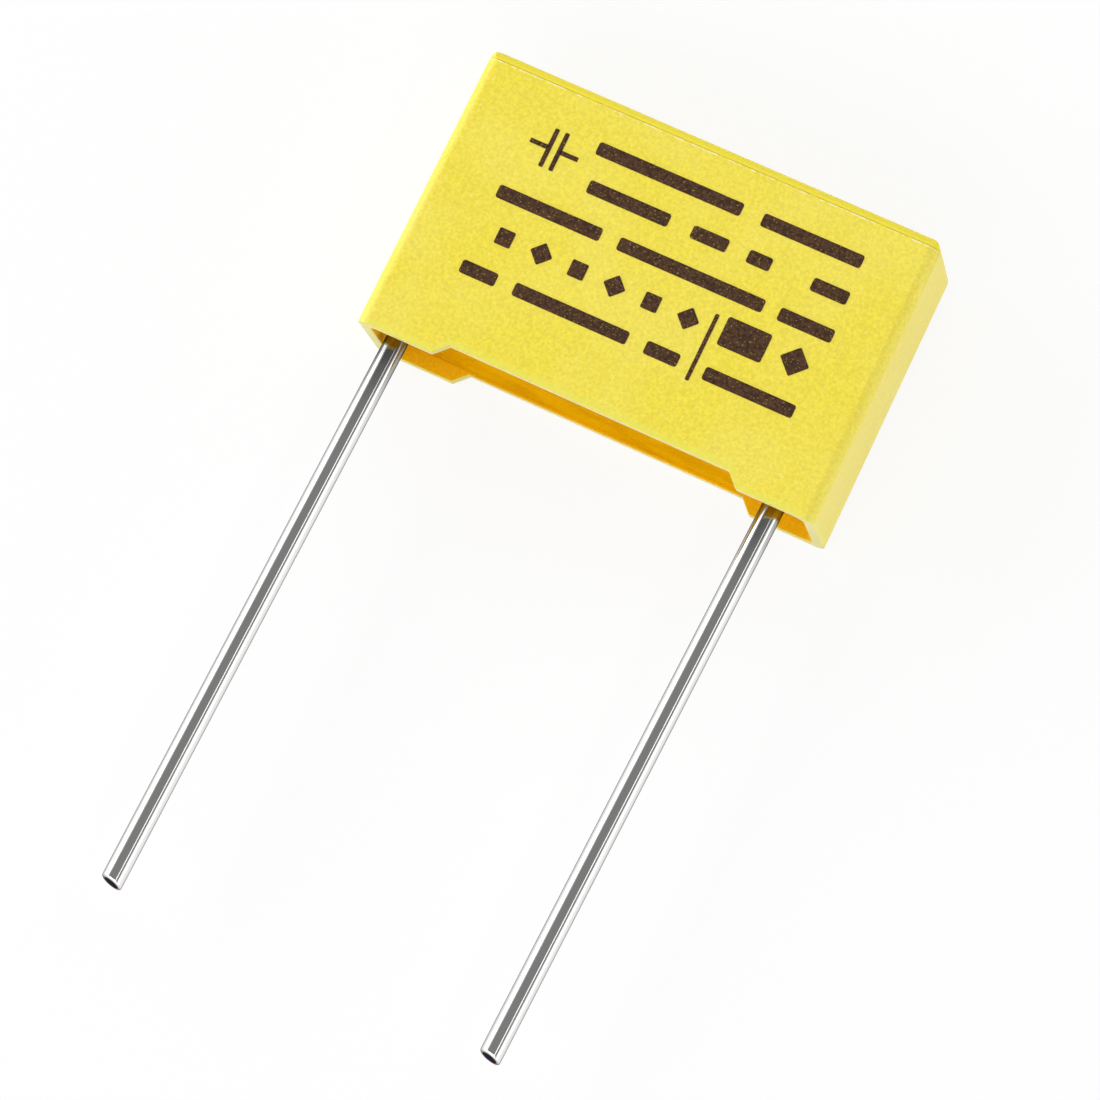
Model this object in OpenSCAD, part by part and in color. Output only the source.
// Box film capacitor with two radial leads, lying on its back.
// X runs along the row of leads, -Y is the way the leads point and Z is the thickness.
// The origin is midway between the leads, on the plane that the feet stand on.
// The winding, its end sprays and the leads are one welded element. It was set in the resin
// a little off the middle of the case and leaning, which element_lean and case_shift give.
// All lengths are in millimetres, and angles in degrees.

/* [Case] */
// Length of the case along the lead row, at its feet
case_w = 18; // [12:0.1:30]
// Height of the case from its feet to its top
case_h = 11; // [9:0.1:18]
// Thickness of the case
case_t = 5; // [4.2:0.1:9]
// Lean of each end wall, which lets the case leave its mould
draft = 0.5; // [0:0.1:1]
// Thickness of the two short end walls
end_wall = 0.45; // [0.3:0.05:0.5]
// Thickness of the two long walls
side_wall = 0.4; // [0.3:0.05:0.6]
// Thickness of the closed top
top_wall = 0.6; // [0.4:0.05:1.2]
// Radius of the four edges that run from the feet to the top
side_edge_r = 0.45; // [0.2:0.05:0.8]
// Radius of the two long edges of the top
top_edge_r = 0.35; // [0.2:0.05:0.8]
// Radius of the two top corners, seen from the front
corner_r = 0.5; // [0.2:0.05:1]
// Radius of the edges inside the case
cavity_r = 0.35; // [0.1:0.05:0.6]

/* [Feet] */
// Length of each foot along the case
foot_len = 3; // [1:0.1:5]
// Height of the notch between the feet
notch_h = 0.5; // [0.3:0.05:0.8]
// Length of the slope at each end of the notch
ramp_len = 0.5; // [0:0.05:1]

/* [Casting resin] */
// Depth of the resin's surface past the top of the notch, in the middle of the mouth
fill_depth = 0.2; // [0.15:0.05:1]
// Height that the resin climbs where it wets the two long walls
side_climb = 0.1; // [0.05:0.01:0.13]
// Height that the resin climbs where it wets the two end walls
end_climb = 0.35; // [0.1:0.05:0.5]
// Length over which the resin climbs at each end wall
climb_run = 1.2; // [0.6:0.1:2]
// Radius of the collar of resin around each lead
collar_r = 0.3; // [0.1:0.05:0.4]
// Resin between the winding and the long walls, and between the winding and the closed top
resin_gap = 0.5; // [0.3:0.05:0.6]
// Resin between the surface and the winding
resin_cover = 1.4; // [0.8:0.1:2.5]

/* [Welded element] */
// Thickness of the metal sprayed on each end of the winding
spray_t = 0.45; // [0.3:0.05:0.8]
// Distance that the middle of the case lies to the right of the middle between the leads
case_shift = 0.45; // [-0.5:0.05:0.5]
// Lean of the winding and its leads inside the case
element_lean = 1.7; // [-2:0.1:2]

/* [Leads] */
// Distance from the axis of a lead to the end of a case with no shift, at its feet
lead_inset = 1.5; // [1.45:0.05:3]
// Diameter of the lead wire
lead_d = 0.85; // [0.6:0.05:0.95]
// Length of the left lead below the feet
left_len = 21.8; // [4:0.1:35]
// Length of the right lead below the feet
right_len = 21.6; // [4:0.1:35]
// Depth that a welded lead sinks into the end spray
weld_bite = 0.1; // [0.05:0.05:0.2]
// Share of the winding's height that a lead reaches up its end
weld_reach = 0.75; // [0.3:0.05:0.9]
// Lean of the cut at the tip of a lead
cut_lean = 8; // [0:1:20]
// Bevel that the cutter leaves round the tip
tip_bevel = 0.08; // [0.02:0.01:0.15]

/* [Hidden] */
$fn = 64;

LEFT = -1;
RIGHT = 1;
BACK = -1;
FRONT = 1;

// Distance between the axes of the two leads
pitch = case_w - 2 * lead_inset;

cavity_w = case_w - 2 * end_wall;
cavity_h = case_h - top_wall;
cavity_t = case_t - 2 * side_wall;

// Overrun of a cutting shape past the face that it opens
over = 1;
// Far enough to pass through the whole case
far = 2 * (case_w + case_h + case_t);

notch_bottom_w = case_w - 2 * foot_len;
notch_top_w = notch_bottom_w - 2 * ramp_len;

lead_r = lead_d / 2;
lead_x = pitch / 2;
// Outer face of each end spray, a weld's depth past the inner side of its lead
spray_face_x = lead_x - lead_r + weld_bite;
film_w = 2 * (spray_face_x - spray_t);
winding_t = cavity_t - 2 * resin_gap;
// Level of the resin's surface, in the middle of the mouth
resin_y = notch_h + fill_depth;
winding_bottom = resin_y + resin_cover;
winding_h = cavity_h - resin_gap - winding_bottom;
lead_top = winding_bottom + weld_reach * winding_h;

// Front outline of a box whose ends lean in by the draft, with round top corners.
module front_outline(w, h, r) {
    lean = tan(draft);
    centre_x = w / 2 - (h - r) * lean - r / cos(draft);
    tangent = [centre_x + r * cos(draft), h - r + r * sin(draft)];
    union() {
        polygon([
            [-w / 2, 0], [w / 2, 0],
            tangent, [centre_x, h],
            [-centre_x, h], [-tangent[0], tangent[1]]
        ]);
        for (side = [LEFT, RIGHT])
            translate([side * centre_x, h - r]) circle(r);
    }
}

// End outline of a box, lying down: height along x and thickness along y.
// The two edges at its top are rounded.
module end_outline(h, t, r) {
    union() {
        translate([0, -t / 2]) square([h - r, t]);
        translate([0, r - t / 2]) square([h, t - 2 * r]);
        for (face = [BACK, FRONT])
            translate([h - r, face * (t / 2 - r)]) circle(r);
    }
}

// Slab that runs the whole width and ends in a leaning wall with two rounded edges.
module leaning_slab(side, w, t, r) {
    mirror([side == LEFT ? 1 : 0, 0, 0])
        translate([w / 2, 0, 0])
            rotate([0, 0, draft])
                translate([0, -far, 0])
                    rotate([-90, 0, 0])
                        linear_extrude(2 * far)
                            union() {
                                translate([-far, -t / 2]) square([far - r, t]);
                                translate([-far, r - t / 2]) square([far, t - 2 * r]);
                                for (face = [BACK, FRONT])
                                    translate([-r, face * (t / 2 - r)]) circle(r);
                            }
}

// Drafted box with rounded edges, standing on its open side, round X = 0.
module moulded_box(w, h, t, edge_r, long_r, round_r) {
    intersection() {
        translate([0, 0, -t / 2]) linear_extrude(t) front_outline(w, h, round_r);
        translate([-w / 2, 0, 0])
            rotate([90, 0, 90])
                linear_extrude(w) end_outline(h, t, long_r);
        leaning_slab(LEFT, w, t, edge_r);
        leaning_slab(RIGHT, w, t, edge_r);
    }
}

module cavity() {
    moulded_box(cavity_w, cavity_h, cavity_t, cavity_r, cavity_r, cavity_r);
}

// Opening between the feet, through both long walls.
module notch() {
    slope = ramp_len / notch_h;
    translate([0, 0, -far / 2])
        linear_extrude(far)
            polygon([
                [-notch_bottom_w / 2 - over * slope, -over],
                [notch_bottom_w / 2 + over * slope, -over],
                [notch_top_w / 2, notch_h],
                [-notch_top_w / 2, notch_h]
            ]);
}

module case() {
    color("#ecdc3c")
        translate([case_shift, 0, 0])
            difference() {
                moulded_box(case_w, case_h, case_t, side_edge_r, top_edge_r, corner_r);
                cavity();
                notch();
            }
}

// Puts what belongs to the welded element at the lean that it was cast in.
module element_place() {
    rotate([0, 0, -element_lean]) children();
}

// Flattened roll: a bar along X with two round edges, from x0 and w long.
module roll(x0, w) {
    r = winding_t / 2;
    translate([x0, winding_bottom + r, 0])
        rotate([0, 90, 0]) {
            translate([-r, 0, 0]) cube([winding_t, winding_h - winding_t, w]);
            for (y = [0, winding_h - winding_t])
                translate([0, y, 0]) cylinder(h = w, r = r);
        }
}

// Place along a lead, in the element's own frame, that lies y above the feet.
function along_lead(side, y) = side * lead_x * tan(element_lean) + y / cos(element_lean);

// Wire from its tip up to its welded end, length long below the feet.
// Side cutters leave the tip slanted, with a bevel round the cut.
module wire(side, length) {
    cut_r = lead_r - tip_bevel;
    tip_y = along_lead(side, 0) - length;
    translate([side * lead_x, 0, 0])
        intersection() {
            translate([0, tip_y - over, 0])
                rotate([-90, 0, 0]) cylinder(h = lead_top + over - tip_y, r = lead_r);
            translate([0, tip_y + cut_r * sin(cut_lean), 0])
                rotate([-90, 0, -cut_lean])
                    union() {
                        cylinder(h = lead_d, r1 = cut_r, r2 = cut_r + lead_d);
                        translate([0, 0, lead_d]) cylinder(h = far + length, r = far);
                    }
        }
}

// Radius of the arc that climbs by the given height over the given run, from level.
function climb_r(run, climb) = (run * run + climb * climb) / (2 * climb);

// Room below the resin's surface, which sags between the walls that it wets.
module mouth() {
    side_r = climb_r(cavity_t / 2, side_climb);
    end_r = climb_r(climb_run, end_climb);
    intersection() {
        translate([-far / 2, resin_y - side_r, 0])
            rotate([0, 90, 0]) cylinder(h = far, r = side_r);
        translate([0, 0, -far / 2])
            linear_extrude(far)
                union() {
                    translate([-cavity_w / 2 - over, -far])
                        square([cavity_w + 2 * over, resin_y - end_climb + far]);
                    translate([climb_run - cavity_w / 2, -far])
                        square([cavity_w - 2 * climb_run, resin_y + far]);
                    for (side = [LEFT, RIGHT])
                        translate([side * (cavity_w / 2 - climb_run), resin_y - end_r])
                            circle(end_r);
                }
    }
}

// Hollow-sided collar of resin that a lead comes out of.
module collar(side) {
    foot_r = lead_r + collar_r;
    translate([side * lead_x, along_lead(side, resin_y) - collar_r, 0])
        rotate([-90, 0, 0])
            rotate_extrude()
                difference() {
                    square([foot_r, 2 * collar_r]);
                    translate([foot_r, 0]) circle(collar_r);
                }
}

module epoxy_fill() {
    color("#c98a12")
        difference() {
            intersection() {
                translate([case_shift, 0, 0]) cavity();
                union() {
                    translate([case_shift, 0, 0])
                        difference() {
                            cavity();
                            mouth();
                        }
                    element_place() {
                        collar(LEFT);
                        collar(RIGHT);
                    }
                }
            }
            element_place() {
                roll(-spray_face_x, 2 * spray_face_x);
                wire(LEFT, left_len);
                wire(RIGHT, right_len);
            }
        }
}

module film_winding() {
    color("#d9dcdf") element_place() roll(-film_w / 2, film_w);
}

module end_spray(side) {
    color("#8f9296")
        element_place()
            difference() {
                roll(side == LEFT ? -spray_face_x : spray_face_x - spray_t, spray_t);
                wire(side, left_len);
            }
}

module lead(side, length) {
    color("#c4c6c8") element_place() wire(side, length);
}

case();
epoxy_fill();
film_winding();
end_spray(LEFT);  // end_spray_left
end_spray(RIGHT);  // end_spray_right
lead(LEFT, left_len);  // lead_left
lead(RIGHT, right_len);  // lead_right
